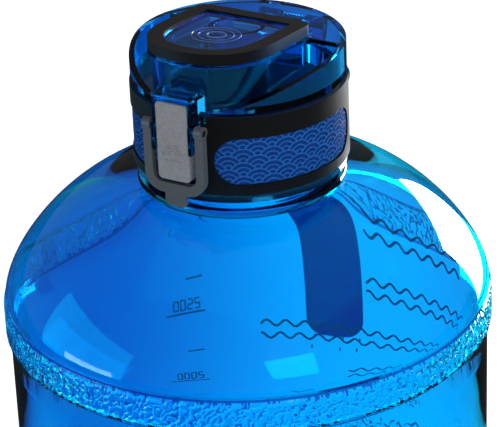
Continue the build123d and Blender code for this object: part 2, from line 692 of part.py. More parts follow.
def dome_point(t, away):
    """A point off the outside of the dome: t = 0 at the ring, 1 at the neck."""
    x0 = RING_R - RING_PROUD / 2
    radii = (x0, x0, BEAD_R + DOME_FLAT, BEAD_R)
    heights = (RING_TOP, RING_TOP + DOME_TURN, DOME_Z, DOME_Z)
    weights = ((1 - t) ** 3, 3 * t * (1 - t) ** 2, 3 * t * t * (1 - t), t**3)
    slopes = (-3 * (1 - t) ** 2, 3 * (1 - t) * (1 - 3 * t), 3 * t * (2 - 3 * t), 3 * t * t)
    r = sum(w * v for w, v in zip(weights, radii))
    z = sum(w * v for w, v in zip(weights, heights))
    dr = sum(w * v for w, v in zip(slopes, radii))
    dz = sum(w * v for w, v in zip(slopes, heights))
    size = hypot(dr, dz)
    return (r + away * dz / size, z - away * dr / size)


def strap_face(away):
    """Points of one face of the webbing, from the loop on the bar down to the sleeve."""
    loop_r = STRAP_BAR_Y / cos(radians(STRAP_SIDE)) + STRAP_LOOP_R + away
    points = [(loop_r, STRAP_BAR_Z), (loop_r + 0.4, STRAP_BAR_Z - LUG_HALF_GAP * 0.6)]
    for step in range(STRAP_POINTS):
        points.append(dome_point(STRAP_FIRST - STRAP_STEP * step, STRAP_AWAY + away))
    return points + [(HANG_R + away, RING_TOP - STRAP_EASE), (HANG_R + away, SLEEVE_TOP - STRAP_TUCK)]


def swung(shape):
    """From the XZ plane, turned to where the strap hangs behind the jug."""
    return Rot(0, 0, 90 + STRAP_SIDE) * shape


def make_strap_webbing():
    near = [rz(r, z) for r, z in strap_face(0)]
    far = [rz(r, z) for r, z in strap_face(STRAP_T)]
    outline = [
        Spline(*near, tangents=[(0, 0, -1), (0, 0, -1)]),
        Line(near[-1], far[-1]),
        Spline(*reversed(far), tangents=[(0, 0, 1), (0, 0, 1)]),
        Line(far[0], near[0]),
    ]
    ribbon = extrude(make_face(outline), amount=STRAP_W / 2, dir=(0, 1, 0), both=True)
    ribbon -= block(0, 2 * BODY_R, -FAR, FAR, 0, SLEEVE_TOP)
    loop = Cylinder(STRAP_LOOP_R + STRAP_T, STRAP_W) - Cylinder(STRAP_LOOP_R, 2 * STRAP_W)
    centre = Pos(STRAP_BAR_Y / cos(radians(STRAP_SIDE)), 0, STRAP_BAR_Z)
    return swung(ribbon + centre * Rot(90, 0, 0) * loop)


def make_strap_sleeve():
    half, neck = SLEEVE_W / 2, SLEEVE_NECK_W / 2
    r0 = HANG_R
    outline = Polyline(
        (r0, -neck, SLEEVE_TOP),
        (r0, neck, SLEEVE_TOP),
        (r0, half, SLEEVE_TOP - SLEEVE_TAPER),
        (r0, half, SLEEVE_BOTTOM + SLEEVE_ROUND),
        (r0, neck, SLEEVE_BOTTOM),
        (r0, -neck, SLEEVE_BOTTOM),
        (r0, -half, SLEEVE_BOTTOM + SLEEVE_ROUND),
        (r0, -half, SLEEVE_TOP - SLEEVE_TAPER),
        close=True,
    )
    pad = extrude(make_face(outline), amount=SLEEVE_T, dir=(1, 0, 0))
    pad = fillet(pad.faces().sort_by(Axis.X)[-1].edges(), SLEEVE_T * SLEEVE_SOFT)
    return swung(pad)


# ---------------------------------------------------------------- build
PIECES = {
    "bottle": make_bottle,
    "bottle_neck": make_bottle_neck,
    "neck_gasket": make_neck_gasket,
    "inner_cap": make_inner_cap,
    "cap_shell": make_cap_shell,
    "grip_band": make_grip_band,
    "window_panel_right": lambda: make_window_panel(1),
    "window_panel_left": lambda: make_window_panel(-1),
    "flip_cover": make_flip_cover,
    "cover_trim": make_cover_trim,
    "mouth_seal": make_mouth_seal,
    "hinge_pin": make_hinge_pin,
    "hinge_spring": make_hinge_spring,
    "latch_button": make_latch_button,
    "latch_pin": make_latch_pin,
    "latch_spring": make_latch_spring,
    "lock_bail": make_lock_bail,
    "bail_pins": make_bail_pins,
    "strap_bar": make_strap_bar,
    "strap_webbing": make_strap_webbing,
    "strap_sleeve": make_strap_sleeve,
}

os.makedirs("parts", exist_ok=True)
for name, make in PIECES.items():
    export_step(one_solid(make()), f"parts/{name}.step")
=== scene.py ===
import math

import bmesh
import bpy
import numpy as np
from mathutils import Matrix, Vector, noise


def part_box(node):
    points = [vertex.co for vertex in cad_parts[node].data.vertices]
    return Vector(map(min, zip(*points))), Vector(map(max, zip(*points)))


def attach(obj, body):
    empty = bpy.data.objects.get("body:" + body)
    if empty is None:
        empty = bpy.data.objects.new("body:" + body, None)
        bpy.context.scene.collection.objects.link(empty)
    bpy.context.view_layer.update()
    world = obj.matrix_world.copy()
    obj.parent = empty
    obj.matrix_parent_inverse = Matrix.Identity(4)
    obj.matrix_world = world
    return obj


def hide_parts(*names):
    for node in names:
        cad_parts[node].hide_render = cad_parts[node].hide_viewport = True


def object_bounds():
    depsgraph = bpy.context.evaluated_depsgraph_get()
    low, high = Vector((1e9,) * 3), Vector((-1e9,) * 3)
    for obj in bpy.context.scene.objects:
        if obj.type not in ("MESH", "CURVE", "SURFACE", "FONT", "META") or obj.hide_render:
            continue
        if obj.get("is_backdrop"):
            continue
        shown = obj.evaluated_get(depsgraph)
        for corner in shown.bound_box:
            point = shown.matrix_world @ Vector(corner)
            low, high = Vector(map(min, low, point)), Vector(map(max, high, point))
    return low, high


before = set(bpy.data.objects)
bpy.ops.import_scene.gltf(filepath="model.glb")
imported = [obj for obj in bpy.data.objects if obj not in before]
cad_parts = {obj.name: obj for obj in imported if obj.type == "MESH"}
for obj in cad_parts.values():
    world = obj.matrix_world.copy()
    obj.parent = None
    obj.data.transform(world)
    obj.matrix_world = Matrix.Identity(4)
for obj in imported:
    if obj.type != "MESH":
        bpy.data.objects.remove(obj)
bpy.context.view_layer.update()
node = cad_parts


# ---------------------------------------------------------------- jug
# One blown piece of clear blue copolyester with the neck it was blown from: foot, straight
# wall, a stippled ring to hold it by, a domed shoulder, and a threaded neck over a bead.
body_low, body_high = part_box("bottle")
neck_low, neck_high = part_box("bottle_neck")
RING_R = body_high.x             # outside of the stippled ring
WALL_R = RING_R - 0.0014
WALL = 0.0018
FOOT_ROUND = 0.011
GROOVE_IN, GROOVE_OUT, GROOVE_H = 0.045, 0.059, 0.003
RING_LOW, RING_TOP, RING_EASE = 0.168, 0.181, 0.002
SHOULDER_R = RING_R - 0.0007     # where the dome leaves the ring
DOME_TOP = body_high.z
DOME_TURN, DOME_FLAT = 0.010, 0.024
BEAD_R, BEAD_TOP = neck_high.x, DOME_TOP + 0.0029
NECK_R, BORE_R = 0.0284, 0.0256
NECK_TOP = neck_high.z
THREAD_LEAD, THREAD_H, THREAD_START, THREAD_TURNS = 0.006, 0.0013, 0.0105, 1.25
COARSE, FINE = 192, 1536         # facets round the jug, and round the ring


def arc_points(start, end, bulge, steps):
    """Points of a curve from start to end that passes bulge to one side of its middle."""
    (r0, z0), (r1, z1) = start, end
    middle = ((r0 + r1) / 2 + bulge[0], (z0 + z1) / 2 + bulge[1])
    points = []
    for i in range(steps + 1):
        t = i / steps
        a, b, c = (1 - t) * (1 - 2 * t), 4 * t * (1 - t), t * (2 * t - 1)
        points.append((a * r0 + b * middle[0] + c * r1, a * z0 + b * middle[1] + c * z1))
    return points


def straight(start, end, steps):
    return [tuple(a + (b - a) * i / steps for a, b in zip(start, end)) for i in range(steps + 1)]


def dome_points(inset, top_r, steps):
    """The shoulder's curve, from upright at the ring to level at the neck."""
    r0, r3, z0, z3 = SHOULDER_R - inset, top_r, RING_TOP, DOME_TOP - inset
    points = []
    for i in range(steps + 1):
        t = i / steps
        w = ((1 - t) ** 3, 3 * t * (1 - t) ** 2, 3 * t * t * (1 - t), t ** 3)
        r = (w[0] + w[1]) * r0 + w[2] * (r3 + DOME_FLAT) + w[3] * r3
        points.append((r, w[0] * z0 + w[1] * (z0 + DOME_TURN) + (w[2] + w[3]) * z3))
    return points


def foot_points(inset):
    """From the middle of the base, over its groove and round the foot."""
    turn = FOOT_ROUND - inset
    points = [(0.0, inset)] + straight((0.012, inset), (GROOVE_IN, inset), 3)
    points += arc_points((GROOVE_IN, inset), (GROOVE_OUT, inset), (0, GROOVE_H), 8)[1:]
    corner = (WALL_R - inset - turn, inset + turn)
    for i in range(9):
        a = math.radians(90 * i / 8)
        points.append((corner[0] + turn * math.sin(a), corner[1] - turn * math.cos(a)))
    return points


def ring_points(inset, steps):
    """Up the wall's last stretch and over the ring."""
    wall, ring = WALL_R - inset, RING_R - inset
    points = straight((wall, RING_LOW), (ring, RING_LOW + RING_EASE), 3)
    points += straight((ring, RING_LOW + RING_EASE), (ring, RING_TOP - RING_EASE), steps)[1:]
    return points + straight((ring, RING_TOP - RING_EASE), (SHOULDER_R - inset, RING_TOP), 3)[1:]


def stipple(x, y, z):
    """Height of the ring's stipple, from 0 in the winding valleys to 1 on the islands."""
    p = Vector((x, y, z)) * 470
    warp = noise.noise_vector(p * 0.7) * 0.8
    island = abs(noise.noise(p + warp) + 0.35 * noise.noise(p * 2.1))
    edge = min(1.0, (z - RING_LOW) / RING_EASE, (RING_TOP - z) / RING_EASE)
    return min(1.0, island * 5.0) * max(0.0, edge)


STIPPLE_H = 0.0006


def thread_height(turn, z):
    """How far the thread's ridge stands out of the neck at this turn (0 to 1) and height."""
    up = (z - DOME_TOP - THREAD_START) / THREAD_LEAD
    best = 0.0
    for lap in (0, 1):
        along = turn + lap
        if along <= THREAD_TURNS:
            off = abs(up - along) * THREAD_LEAD
            side = max(0.0, min(1.0, (0.0012 - off) / 0.0006))
            ends = min(1.0, along / 0.02, (THREAD_TURNS - along) / 0.02)
            best = max(best, side * ends)
    return best * THREAD_H


def make_jug():
    """Rows of vertices from the middle of the base, up outside, down inside, and back."""
    rows = [(r, z, COARSE, None) for r, z in foot_points(0)]
    rows += [(WALL_R, z, COARSE, None) for z in np.linspace(0.03, 0.16, 5)]
    rows += [(r, z, FINE, "stipple") for r, z in ring_points(0, 27)]
    rows += [(r, z, COARSE, None) for r, z in dome_points(0, BEAD_R, 40)[1:]]
    rows += [(r, z, COARSE, None) for r, z in arc_points((BEAD_R, DOME_TOP), (BEAD_R, BEAD_TOP), (0.0005, 0), 6)]
    rows += [(NECK_R + 0.0004, BEAD_TOP, COARSE, None)]
    rows += [(NECK_R, z, COARSE, "thread") for z in np.linspace(BEAD_TOP + 0.0004, NECK_TOP - 0.0004, 60)]
    rows += [(NECK_R - 0.0004, NECK_TOP, COARSE, None), (BORE_R + 0.0004, NECK_TOP, COARSE, None)]
    rows += [(BORE_R, z, COARSE, None) for z in np.linspace(NECK_TOP - 0.0004, DOME_TOP - WALL, 8)]
    rows += [(r, z, COARSE, None) for r, z in reversed(dome_points(WALL, BORE_R + 0.001, 40))]
    rows += [(r, z, COARSE, None) for r, z in reversed(ring_points(WALL, 6))][1:]
    rows += [(WALL_R - WALL, z, COARSE, None) for z in np.linspace(0.16, 0.03, 5)]
    rows += [(r, z, COARSE, None) for r, z in reversed(foot_points(WALL))]
    verts, rings, tops = [], [], []
    for r, z, count, relief in rows:
        if r == 0.0:
            rings.append([len(verts)])
            verts.append((0.0, 0.0, z))
            continue
        rings.append(list(range(len(verts), len(verts) + count)))
        for i in range(count):
            a = 2 * math.pi * i / count
            x, y = math.sin(a), -math.cos(a)
            reach = r
            if relief == "stipple":
                top = stipple(r * x, r * y, z)
                tops.append((len(verts), top))
                reach += STIPPLE_H * (top - 1)
            if relief == "thread":
                reach += thread_height((i / count + 0.25) % 1.0, z)
            verts.append((reach * x, reach * y, z))
    faces = []
    for low, high in zip(rings, rings[1:]):
        n, m = len(low), len(high)
        if n == 1 or m == 1:
            rim = high if n == 1 else low
            tip = low[0] if n == 1 else high[0]
            for i in range(len(rim)):
                pair = (rim[(i + 1) % len(rim)], rim[i]) if n == 1 else (rim[i], rim[(i + 1) % len(rim)])
                faces.append((tip, *pair))
        elif n == m:
            for i in range(n):
                j = (i + 1) % n
                faces.append((low[i], low[j], high[j], high[i]))
        elif m > n:
            k = m // n
            for i in range(n):
                many = [high[(i * k + s) % m] for s in range(k, -1, -1)]
                faces.append((low[i], low[(i + 1) % n], *many))
        else:
            k = n // m
            for i in range(m):
                many = [low[(i * k + s) % n] for s in range(k + 1)]
                faces.append((*many, high[(i + 1) % m], high[i]))
    return verts, faces, dict(tops)


def mesh_piece(name, verts, faces, smooth=True):
    """A new object of these vertices and faces, at the origin."""
    mesh = bpy.data.meshes.new(name)
    mesh.from_pydata(verts, [], faces)
    mesh.validate()
    if smooth:
        mesh.shade_smooth()
    piece = bpy.data.objects.new(name, mesh)
    bpy.context.scene.collection.objects.link(piece)
    return piece


def node_group(name, inputs, outputs):
    """An empty shader node group with these named inputs (with their values) and outputs."""
    tree = bpy.data.node_groups.new(name, "ShaderNodeTree")
    for label, value in inputs.items():
        socket = tree.interface.new_socket(label, in_out="INPUT", socket_type="NodeSocketFloat")
        socket.default_value = value
    for label, kind in outputs.items():
        tree.interface.new_socket(label, in_out="OUTPUT", socket_type=kind)
    return tree, tree.nodes.new("NodeGroupInput"), tree.nodes.new("NodeGroupOutput")


def texture(tree, kind, scale, vector=None, **values):
    """A texture node at this scale (a socket or a number), in the piece's own metres."""
    tex = tree.nodes.new(kind)
    if vector is None:
        vector = tree.nodes.new("ShaderNodeTexCoord").outputs["Object"]
    tree.links.new(vector, tex.inputs["Vector"])
    if isinstance(scale, (int, float)):
        tex.inputs["Scale"].default_value = scale
    else:
        tree.links.new(scale, tex.inputs["Scale"])
    for label, value in values.items():
        tex.inputs[label].default_value = value
    return tex


def ranged(tree, value, low, high, start=0.0, end=1.0):
    """value from start..end mapped to low..high, each a number or a socket."""
    fit = tree.nodes.new("ShaderNodeMapRange")
    tree.links.new(value, fit.inputs["Value"])
    for label, limit in (("From Min", start), ("From Max", end), ("To Min", low), ("To Max", high)):
        if isinstance(limit, (int, float)):
            fit.inputs[label].default_value = limit
        else:
            tree.links.new(limit, fit.inputs[label])
    return fit.outputs["Result"]


# Handling leaves clear and moulded plastic a little uneven in shine.
smudge, group_in, group_out = node_group(
    "smudge", {"Scale": 40, "Low": 0.1, "High": 0.3}, {"Roughness": "NodeSocketFloat"})
cloud = texture(smudge, "ShaderNodeTexNoise", group_in.outputs["Scale"], Detail=4.0, Roughness=0.6)
spread = ranged(smudge, cloud.outputs["Fac"], group_in.outputs["Low"], group_in.outputs["High"], 0.3, 0.7)
smudge.links.new(spread, group_out.inputs["Roughness"])

# Moulded grain: rounded pebbles broken up by a finer noise.
pebble, group_in, group_out = node_group(
    "pebble", {"Scale": 900, "Depth": 0.0001}, {"Normal": "NodeSocketVector", "Height": "NodeSocketFloat"})
cells = texture(pebble, "ShaderNodeTexVoronoi", group_in.outputs["Scale"])
fine = texture(pebble, "ShaderNodeTexNoise", group_in.outputs["Scale"], Detail=3.0)
grain = pebble.nodes.new("ShaderNodeMath")
grain.operation = "MULTIPLY"
pebble.links.new(ranged(pebble, cells.outputs["Distance"], 1.0, 0.0, 0.0, 0.8), grain.inputs[0])
pebble.links.new(fine.outputs["Fac"], grain.inputs[1])
bump = pebble.nodes.new("ShaderNodeBump")
pebble.links.new(group_in.outputs["Depth"], bump.inputs["Distance"])
pebble.links.new(grain.outputs[0], bump.inputs["Height"])
pebble.links.new(bump.outputs["Normal"], group_out.inputs["Normal"])
pebble.links.new(grain.outputs[0], group_out.inputs["Height"])

# Woven tape: ribs across it with a herringbone of yarns.
weave, group_in, group_out = node_group(
    "weave", {"Scale": 500, "Depth": 0.0002}, {"Normal": "NodeSocketVector", "Height": "NodeSocketFloat"})
ribs = texture(weave, "ShaderNodeTexWave", group_in.outputs["Scale"], Distortion=1.0)
ribs.bands_direction = "Z"
yarns = texture(weave, "ShaderNodeTexWave", group_in.outputs["Scale"], Distortion=1.5)
yarns.bands_direction = "DIAGONAL"
cross = weave.nodes.new("ShaderNodeMath")
cross.operation = "MULTIPLY"
weave.links.new(ribs.outputs["Fac"], cross.inputs[0])
weave.links.new(yarns.outputs["Fac"], cross.inputs[1])
bump = weave.nodes.new("ShaderNodeBump")
weave.links.new(group_in.outputs["Depth"], bump.inputs["Distance"])
weave.links.new(cross.outputs[0], bump.inputs["Height"])
weave.links.new(bump.outputs["Normal"], group_out.inputs["Normal"])
weave.links.new(cross.outputs[0], group_out.inputs["Height"])


def use(mat, tree, **values):
    """A node of that group in this material, with its inputs set."""
    made = mat.node_tree.nodes.new("ShaderNodeGroup")
    made.node_tree = tree
    for label, value in values.items():
        made.inputs[label].default_value = value
    return made


def clear_plastic(name, colour, rough=(0.02, 0.06), flow=0.0002, ior=1.5):
    """Clear tinted plastic: colour is what one wall lets through. Lamps shine through it."""
    mat = bpy.data.materials.new(name)
    mat.use_nodes = True
    nodes, links = mat.node_tree.nodes, mat.node_tree.links
    shader = nodes["Principled BSDF"]
    shader.inputs["Base Color"].default_value = (*colour, 1)
    shader.inputs["Transmission Weight"].default_value = 1.0
    shader.inputs["IOR"].default_value = ior
    links.new(use(mat, smudge, Scale=25, Low=rough[0], High=rough[1]).outputs[0], shader.inputs["Roughness"])
    bump = nodes.new("ShaderNodeBump")
    bump.inputs["Distance"].default_value = flow
    waves = texture(mat.node_tree, "ShaderNodeTexNoise", 22, Detail=1.0)
    links.new(waves.outputs["Fac"], bump.inputs["Height"])
    links.new(bump.outputs["Normal"], shader.inputs["Normal"])
    lamp = nodes.new("ShaderNodeBsdfTransparent")
    lamp.inputs["Color"].default_value = (*(math.sqrt(c) for c in colour), 1)
    path = nodes.new("ShaderNodeLightPath")
    mix = nodes.new("ShaderNodeMixShader")
    links.new(path.outputs["Is Shadow Ray"], mix.inputs[0])
    links.new(shader.outputs[0], mix.inputs[1])
    links.new(lamp.outputs[0], mix.inputs[2])
    links.new(mix.outputs[0], nodes["Material Output"].inputs["Surface"])
    return mat


def grained(name, colour, rough, grain, surface=pebble, metallic=0.0, shine=0.5, sheen=0.0, pale=1.5):
    """Opaque stuff with a grain: rough is its least and most roughness, grain its scale and depth,
    and pale how much lighter than colour the tops of the grain are."""
    mat = bpy.data.materials.new(name)
    mat.use_nodes = True
    nodes, links = mat.node_tree.nodes, mat.node_tree.links
    shader = nodes["Principled BSDF"]
    shader.inputs["Metallic"].default_value = metallic
    shader.inputs["Specular IOR Level"].default_value = shine
    shader.inputs["Sheen Weight"].default_value = sheen
    shader.inputs["Sheen Tint"].default_value = (0.8, 0.75, 0.7, 1)
    links.new(use(mat, smudge, Scale=60, Low=rough[0], High=rough[1]).outputs[0], shader.inputs["Roughness"])
    relief = use(mat, surface, Scale=grain[0], Depth=grain[1])
    links.new(relief.outputs["Normal"], shader.inputs["Normal"])
    mix = nodes.new("ShaderNodeMix")
    mix.data_type = "RGBA"
    mix.inputs["A"].default_value = (*colour, 1)
    mix.inputs["B"].default_value = (*(min(1.0, c * pale) for c in colour), 1)
    links.new(relief.outputs["Height"], mix.inputs["Factor"])
    links.new(mix.outputs["Result"], shader.inputs["Base Color"])
    return mat


def wear(names, mat):
    for n in names:
        node[n].data.materials.clear()
        node[n].data.materials.append(mat)


verts, faces, tops = make_jug()
jug = mesh_piece("jug", verts, faces)
jug.data.materials.append(clear_plastic("blue_copolyester", (0.0, 0.58, 0.93), (0.0, 0.03)))
# The ring's valley facets get a darker copy of the plastic as painted shade, and its upward-facing facets a paler
# copy as a painted glint.
jug.data.materials.append(clear_plastic("stipple_painted_shade", (0.0, 0.07, 0.30), (0.05, 0.1)))
jug.data.materials.append(clear_plastic("stipple_painted_glint", (0.50, 0.70, 1.0), (0.05, 0.1)))
painted_light_slots = [0] * len(jug.data.polygons)
for face in jug.data.polygons:
    corners = [v for v in face.vertices if v in tops]
    if len(corners) == 4:
        low = min(corners, key=lambda v: verts[v][2])
        high = max(corners, key=lambda v: verts[v][2])
        # Low facets take the painted shade; facets whose lower edge stands out further face up and take the painted
        # glint.
        if sum(tops[v] for v in corners) < 1.3:
            painted_light_slots[face.index] = 1
        elif tops[low] - tops[high] > 0.35:
            painted_light_slots[face.index] = 2
jug.data.polygons.foreach_set("material_index", painted_light_slots)
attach(jug, "jug")
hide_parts("bottle", "bottle_neck")


# ---------------------------------------------------------------- marks on the jug
# A measuring scale and wavy lines printed in dark ink on the outside of the wall. They're
# a film of ink, so they ride with the jug and have no CAD piece of their own.
INK_R = WALL_R + 0.00012
INK_T = 0.00006


def on_wall(points):
    """Flat points (along the wall to the right seen from outside, up) wrapped on the wall."""
    return [(INK_R * math.sin(u / INK_R), -INK_R * math.cos(u / INK_R), z) for u, z in points]


def stroke(verts, faces, path, width):
    """A line of ink along path, as a thin strip with two sides."""
    rows = []
    for i, (u, z) in enumerate(path):
        before, after = path[max(0, i - 1)], path[min(len(path) - 1, i + 1)]
        du, dz = after[0] - before[0], after[1] - before[1]
        size = math.hypot(du, dz) or 1.0
        rows.append([(u - dz / size * width / 2, z + du / size * width / 2),
                     (u + dz / size * width / 2, z - du / size * width / 2)])
    start = len(verts)
    for left, right in rows:
        a, b = on_wall([left, right])
        shrink = 1 - INK_T / INK_R
        verts += [a, b, (b[0] * shrink, b[1] * shrink, b[2]), (a[0] * shrink, a[1] * shrink, a[2])]
    for i in range(len(rows) - 1):
        k = start + 4 * i
        for q in range(4):
            r = (q + 1) % 4
            faces.append((k + q, k + 4 + q, k + 4 + r, k + r))
    faces.append((start, start + 1, start + 2, start + 3))
    end = start + 4 * (len(rows) - 1)
    faces.append((end + 3, end + 2, end + 1, end))


SEGMENTS = {"a": ((0, 2), (1, 2)), "b": ((1, 2), (1, 1)), "c": ((1, 1), (1, 0)), "d": ((0, 0), (1, 0)),
            "e": ((0, 1), (0, 0)), "f": ((0, 2), (0, 1)), "g": ((0, 1), (1, 1))}
DIGITS = {"0": "abcdef", "1": "bc", "2": "abged", "3": "abgcd", "5": "afgcd"}


def number(verts, faces, text, u, z, high, width):
    """Figures made of straight strokes, starting at u, z."""
    for k, figure in enumerate(text):
        for part in DIGITS[figure]:
            ends = [(u + (k * 0.78 + 0.5 * p) * high, z + q * high / 2) for p, q in SEGMENTS[part]]
            stroke(verts, faces, straight(*ends, 3), width)


verts, faces = [], []
for level, text in ((0.1575, "3000"), (0.1350, "2500"), (0.1048, "2000"), (0.0750, "1500"), (0.0450, "1000")):
    u = INK_R * math.radians(-137.0)
    number(verts, faces, text, u + 0.001, level + 0.0013, 0.0034, 0.0005)
    stroke(verts, faces, straight((u - 0.001, level), (u + 0.0135, level), 12), 0.0006)
for level in (0.1462, 0.1199, 0.0899, 0.0600):
    u = INK_R * math.radians(-137.0)
    stroke(verts, faces, straight((u, level), (u + 0.006, level), 6), 0.0005)
for row, (level, start, end) in enumerate(((0.1640, 178, 146), (0.1440, 179, 140), (0.1240, 208, 148),
                                           (0.1040, 184, 164), (0.0840, 200, 150), (0.0640, 196, 152))):
    low, high = INK_R * math.radians(end), INK_R * math.radians(start)
    for shift in (0.0, 0.0048):
        wave = []
        count = 70
        for i in range(count + 1):
            u = low + (high - low) * i / count
            wave.append((u, level + shift + 0.0012 * math.sin(u * 900 + row + shift * 400)))
        stroke(verts, faces, wave, 0.0009)
marks = mesh_piece("measuring_marks", verts, faces, smooth=False)
marks.data.materials.append(grained("dark_ink", (0.004, 0.006, 0.03), (0.4, 0.6), (1500, 0.00001)))
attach(marks, "jug")


# ---------------------------------------------------------------- cap
# The threaded inner cap is black polypropylene; a clear blue shell is pressed over it and
# carries the latch, the hinge and the strap lug. A silicone ring seals it on the neck.
wear(["inner_cap"], grained("black_polypropylene", (0.006, 0.007, 0.012), (0.3, 0.5), (1200, 0.00003)))
blue_cap = clear_plastic("blue_polycarbonate", (0.01, 0.36, 0.76), (0.0, 0.05), 0.0001, 1.58)
wear(["cap_shell", "flip_cover"], blue_cap)
wear(["mouth_seal", "neck_gasket"], grained("blue_silicone", (0.02, 0.10, 0.35), (0.35, 0.55), (700, 0.00004), sheen=0.2))
steel = grained("brushed_steel", (0.55, 0.56, 0.58), (0.18, 0.36), (1800, 0.00002), metallic=1.0, pale=1.2)
wear(["hinge_pin", "hinge_spring", "latch_pin", "latch_spring", "strap_bar"], steel)


# ---------------------------------------------------------------- rubber
# Soft black rubber is moulded over the shell as a band with two windows, and over the
# cover as a rim round its raised top. It has a fine matt grain.
rubber = grained("black_rubber", (0.0035, 0.0035, 0.004), (0.42, 0.62), (1500, 0.00006), shine=0.22, sheen=0.06, pale=2.0)
wear(["grip_band", "cover_trim"], rubber)


# ---------------------------------------------------------------- window panels
# A blue panel shows through each window of the band. It is pressed in from behind, and
# its face is moulded with rows of overlapping scales, each of three arcs.
panel_blue = grained("panel_blue", (0.0, 0.032, 0.19), (0.3, 0.45), (1300, 0.00002), shine=0.12, pale=1.3)
panel_line = grained("panel_arcs", (0.005, 0.11, 0.40), (0.3, 0.45), (1300, 0.00002), shine=0.25, pale=1.3)
SCALE_R, ARCS, ARC_H = 0.0046, 3, 0.00028


def scale_arc(u, v):
    """1 on an arc of the scale that lies uppermost at this place, and 0 between arcs."""
    for k in range(math.floor((v - SCALE_R) / (SCALE_R / 2)), math.ceil((v + SCALE_R) / (SCALE_R / 2)) + 1):
        shift = SCALE_R * (k % 2)
        centre = shift + 2 * SCALE_R * round((u - shift) / (2 * SCALE_R))
        away = math.hypot(u - centre, v - k * SCALE_R / 2)
        if away <= SCALE_R:
            return 1.0 if (away / SCALE_R * ARCS) % 1.0 > 0.68 else 0.0
    return 0.0


for side in ("right", "left"):
    cad = node["window_panel_" + side]
    places = [cad.matrix_world @ v.co for v in cad.data.vertices]
    turns = [math.atan2(p.x, -p.y) for p in places]
    reach = [math.hypot(p.x, p.y) for p in places]
    low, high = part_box("window_panel_" + side)
    face_r, back_r, middle = max(reach), min(reach), (low.z + high.z) / 2
    half_h, half_u = (high.z - low.z) / 2, (max(turns) - min(turns)) * max(reach) / 2
    centre = (max(turns) + min(turns)) / 2
    across, up = 300, 96
    verts, faces, tones = [], [], []
    for i in range(across + 1):
        u = -half_u + 2 * half_u * i / across
        over = max(0.0, abs(u) - (half_u - half_h))
        tall = math.sqrt(max(1e-9, half_h ** 2 - over ** 2))
        for k in range(up + 1):
            v = (2 * k / up - 1) * tall
            a = centre + u / face_r
            edge = min(1.0, (tall - abs(v)) / 0.0004)
            r = face_r - ARC_H * (1 - scale_arc(u, v) * edge)
            verts.append((r * math.sin(a), -r * math.cos(a), middle + v))
    front = len(verts)
    for x, y, z in verts[:front]:
        r = back_r / math.hypot(x, y)
        verts.append((x * r, y * r, z))
    for i in range(across):
        for k in range(up):
            a, b = i * (up + 1) + k, (i + 1) * (up + 1) + k
            faces.append((a, b, b + 1, a + 1))
            faces.append((front + a + 1, front + b + 1, front + b, front + a))
            u = -half_u + 2 * half_u * (i + 0.5) / across
            v = verts[a][2] - middle + half_h / up
            tones += [int(scale_arc(u, v) > 0.5), 0]
        a, b = i * (up + 1), (i + 1) * (up + 1)
        faces.append((a, front + a, front + b, b))
        faces.append((a + up, b + up, front + b + up, front + a + up))
        tones += [0, 0]
    panel = mesh_piece("scaled_panel_" + side, verts, faces, smooth=False)
    panel.data.materials.append(panel_blue)
    panel.data.materials.append(panel_line)
    panel.data.polygons.foreach_set("material_index", tones)
    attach(panel, "cap")
    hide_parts("window_panel_" + side)


# ---------------------------------------------------------------- lens rings
# Round the middle of the cover's lens are the witness marks of its moulding gate: a
# shallow dimple and two fine rings, raised in the same clear plastic.
cover_low, cover_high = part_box("flip_cover")


def on_cover(x, y):
    """Height of the cover's top at this place."""
    lid = node["flip_cover"]
    back = lid.matrix_world.inverted()
    hit, place, _, _ = lid.ray_cast(back @ Vector((x, y, cover_high.z + 0.01)), back.to_3x3() @ Vector((0, 0, -1)))
    return (lid.matrix_world @ place).z if hit else cover_high.z


verts, faces = [], []
LENS_Y = -0.0125
RING_STEPS, TUBE_STEPS = 96, 10
for ring_r, tube_r in ((0.0030, 0.00045), (0.0056, 0.00022), (0.0077, 0.00022)):
    start = len(verts)
    for i in range(RING_STEPS):
        a = 2 * math.pi * i / RING_STEPS
        x, y = ring_r * math.cos(a), LENS_Y + ring_r * math.sin(a)
        z = on_cover(x, y)
        for k in range(TUBE_STEPS):
            b = 2 * math.pi * k / TUBE_STEPS
            out = ring_r + tube_r * math.cos(b)
            verts.append((out * math.cos(a), LENS_Y + out * math.sin(a), z + tube_r * 0.6 * math.sin(b)))
    for i in range(RING_STEPS):
        for k in range(TUBE_STEPS):
            a, b = start + i * TUBE_STEPS, start + (i + 1) % RING_STEPS * TUBE_STEPS
            n = (k + 1) % TUBE_STEPS
            faces.append((a + k, b + k, b + n, a + n))
rings = mesh_piece("lens_rings", verts, faces)
rings.data.materials.append(grained("lens_mark", (0.08, 0.16, 0.4), (0.15, 0.3), (900, 0.00001)))
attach(rings, "cover")


# ---------------------------------------------------------------- latch
# A pebbled grey button rocks on a pin, and a wire-like bail swings over it to lock it.
# The button's face has raised ribs to press, set above three nested arcs.
grey = grained("grey_button", (0.20, 0.19, 0.19), (0.42, 0.6), (1100, 0.00022), shine=0.45, pale=1.6)
wear(["latch_button"], grey)
wear(["lock_bail"], grained("grey_bail", (0.07, 0.07, 0.07), (0.3, 0.45), (1100, 0.0001), shine=0.6, pale=1.5))
wear(["bail_pins"], grained("black_pin", (0.006, 0.006, 0.006), (0.3, 0.45), (900, 0.00003)))
button_low, button_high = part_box("latch_button")


